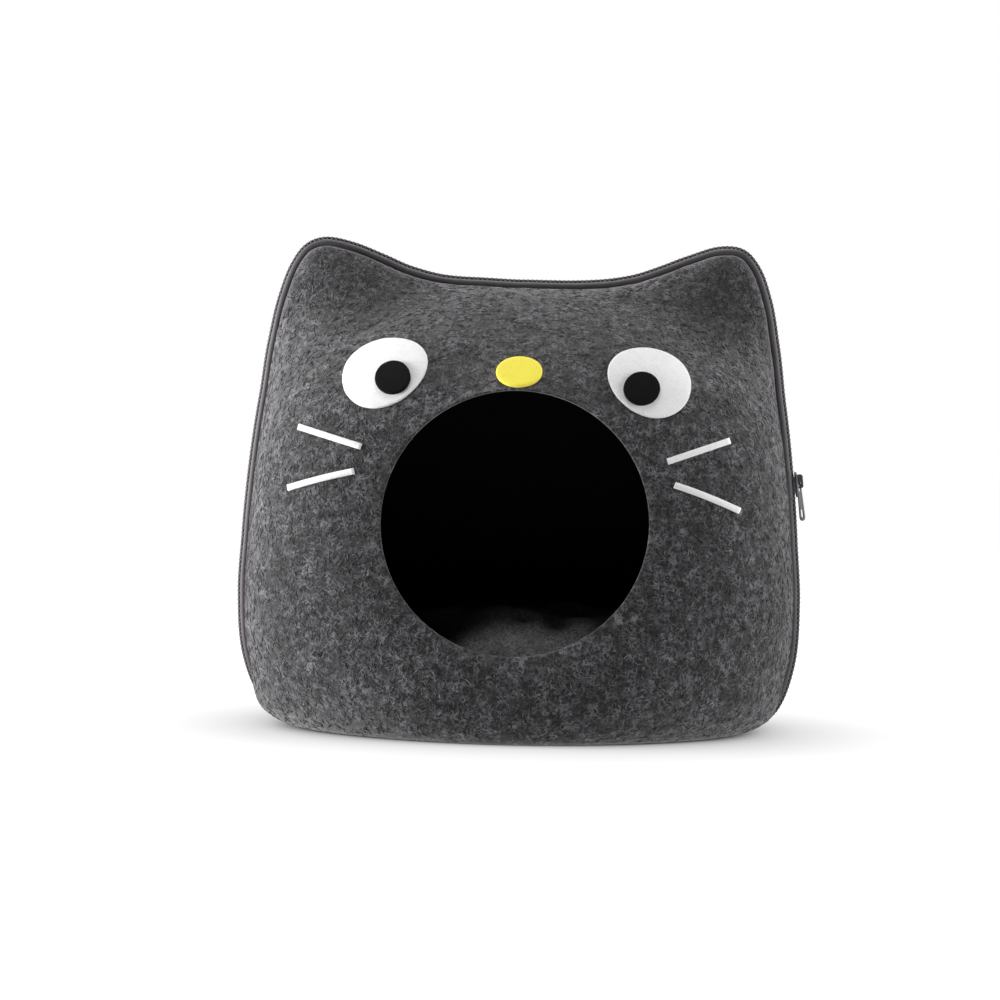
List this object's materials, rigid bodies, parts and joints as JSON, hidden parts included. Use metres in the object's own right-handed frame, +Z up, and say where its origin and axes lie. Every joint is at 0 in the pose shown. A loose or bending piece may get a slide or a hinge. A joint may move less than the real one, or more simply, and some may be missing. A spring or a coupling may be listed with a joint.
{
  "type": "felt cat cave",
  "caption": "Free-standing moulded felt pet cave with cat ears, a round entrance, a sewn-on cat face, a zip all round and a loose plush cushion inside.",
  "frame": {"origin": "middle of the cave's bounding box, on the surface that it stands on", "axes": "+X to the right as the entrance is faced (the width), -Y out of the entrance, +Z up"},
  "size_m": [0.4036, 0.2958, 0.3449],
  "materials": {
    "felt_grey": "matte heathered charcoal felt, moulded",
    "tape": "woven zip tape, dark mauve grey",
    "coil": "dark nylon coil",
    "metal": "dark gunmetal",
    "felt_white": "white felt",
    "felt_black": "black felt",
    "felt_yellow": "bright yellow felt",
    "plush": "dark grey short plush"
  },
  "bodies": {
    "root": {"front_shell": "felt_grey", "back_shell": "felt_grey", "zip_tape_front": "tape", "zip_tape_back": "tape", "zip_coil": "coil", "zip_slider": "metal", "zip_pull": "metal", "eye_white_left": "felt_white", "eye_white_right": "felt_white", "pupil_left": "felt_black", "pupil_right": "felt_black", "nose": "felt_yellow", "whisker_upper_left": "felt_white", "whisker_lower_left": "felt_white", "whisker_upper_right": "felt_white", "whisker_lower_right": "felt_white", "cushion": "plush"}
  },
  "joints": []
}
